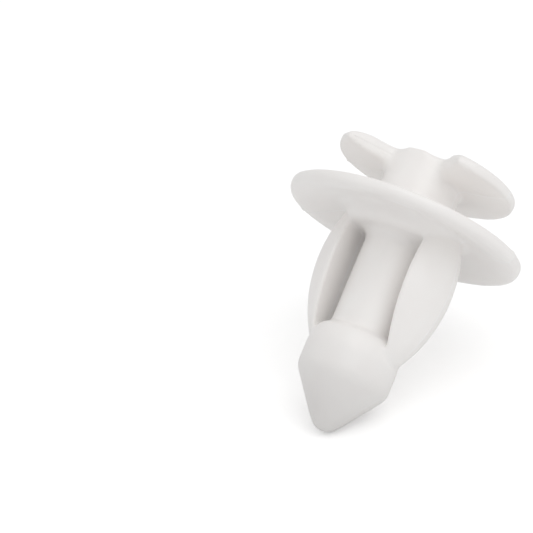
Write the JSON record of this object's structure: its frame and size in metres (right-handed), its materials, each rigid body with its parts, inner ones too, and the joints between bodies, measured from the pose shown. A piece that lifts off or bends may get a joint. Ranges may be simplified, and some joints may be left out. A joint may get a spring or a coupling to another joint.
{
  "type": "push-in panel retainer clip",
  "caption": "Moulded nylon push-in clip: notched round head, short neck, dished spring flange, bowed snap legs beside a core, and a conical nose.",
  "frame": {"origin": "centre of the head's flat outer face", "axes": "+Z from the head along the clip's axis to the nose, the head's notch opens towards -Y, the legs lie on +X and -X"},
  "size_m": [0.018, 0.018, 0.0215],
  "materials": {
    "nylon_body": "satin moulded natural nylon"
  },
  "bodies": {
    "clip_body": {"head_plate": "nylon_body", "neck_post": "nylon_body", "flange_hub": "nylon_body", "shank_collar": "nylon_body", "shank_core": "nylon_body", "nose_barrel": "nylon_body", "nose_cone": "nylon_body", "right_leg_root": "nylon_body", "right_leg_foot": "nylon_body", "left_leg_root": "nylon_body", "left_leg_foot": "nylon_body"},
    "flange_ring": {"spring_flange": "nylon_body"},
    "right_leg": {"right_leg_upper_bow": "nylon_body", "right_leg_lower_bow": "nylon_body"},
    "left_leg": {"left_leg_upper_bow": "nylon_body", "left_leg_lower_bow": "nylon_body"}
  },
  "joints": [
    {"name": "flange_flex", "type": "slide", "parent": "clip_body", "child": "flange_ring", "axis": [0, 0, -1], "range_m": [0, 0.0005], "stiffness_N_per_m": 5000},
    {"name": "right_leg_flex", "type": "slide", "parent": "clip_body", "child": "right_leg", "axis": [-1, 0, 0], "range_m": [0, 0.0007], "stiffness_N_per_m": 5000},
    {"name": "left_leg_flex", "type": "slide", "parent": "clip_body", "child": "left_leg", "axis": [1, 0, 0], "range_m": [0, 0.0007], "stiffness_N_per_m": 5000}
  ]
}
